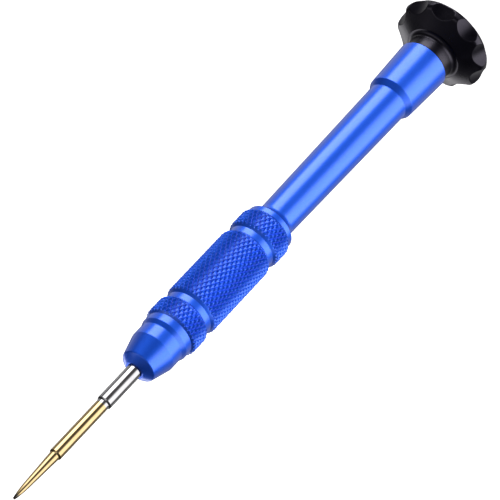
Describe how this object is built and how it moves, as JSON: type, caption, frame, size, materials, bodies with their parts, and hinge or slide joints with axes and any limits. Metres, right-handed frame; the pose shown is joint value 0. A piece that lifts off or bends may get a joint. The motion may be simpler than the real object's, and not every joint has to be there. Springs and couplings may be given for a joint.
{
  "type": "precision screwdriver",
  "caption": "Watchmaker's screwdriver: knurled blue aluminium handle, stepped steel blade with a fine cross point, and a black scalloped swivel cap on ball bearings.",
  "frame": {"origin": "centre of the swivel cap's flat end face, on which the tool stands", "axes": "+Z along the tool's axis from the cap to the driver tip; X and Y lie in the cap's end face, +X through the middle of a scallop"},
  "size_m": [0.0196, 0.02, 0.1374],
  "materials": {
    "anodised_aluminium": "satin blue anodised, turned and knurled",
    "coated_blade_steel": "polished, gold-coloured nitride coating on the front part, dark point",
    "cap_plastic": "semi-gloss black moulded",
    "disc_plastic": "fine matt black",
    "cage_nylon": "natural nylon",
    "bearing_steel": "ground and polished",
    "shield_steel": "pressed sheet",
    "spacer_brass": "turned",
    "axle_steel": "ground"
  },
  "bodies": {
    "handle": {"blade": "coated_blade_steel", "front_bearing_front_shield": "shield_steel", "front_bearing_outer_ring": "bearing_steel", "front_bearing_rear_shield": "shield_steel", "handle": "anodised_aluminium", "outer_spacer": "spacer_brass", "rear_bearing_front_shield": "shield_steel", "rear_bearing_outer_ring": "bearing_steel", "rear_bearing_rear_shield": "shield_steel"},
    "cap": {"cap": "cap_plastic", "cover_disc": "disc_plastic", "axle_pin": "axle_steel", "thrust_washer": "axle_steel", "inner_spacer": "spacer_brass", "retaining_clip": "axle_steel", "rear_bearing_inner_ring": "bearing_steel", "front_bearing_inner_ring": "bearing_steel"},
    "rear_ball_set": {"rear_bearing_balls": "bearing_steel", "rear_bearing_cage": "cage_nylon"},
    "front_ball_set": {"front_bearing_balls": "bearing_steel", "front_bearing_cage": "cage_nylon"}
  },
  "joints": [
    {"name": "cap_swivel", "type": "hinge", "parent": "handle", "child": "cap", "pos_m": [0, 0, 0.0126], "axis": [0, 0, 1], "continuous": true},
    {"name": "rear_ball_set_spin", "type": "hinge", "parent": "handle", "child": "rear_ball_set", "pos_m": [0, 0, 0.0101], "axis": [0, 0, 1], "continuous": true},
    {"name": "front_ball_set_spin", "type": "hinge", "parent": "handle", "child": "front_ball_set", "pos_m": [0, 0, 0.0151], "axis": [0, 0, 1], "continuous": true}
  ],
  "couplings": [
    {"joint": "rear_ball_set_spin", "follows": "cap_swivel", "ratio": 0.4},
    {"joint": "front_ball_set_spin", "follows": "cap_swivel", "ratio": 0.4}
  ]
}
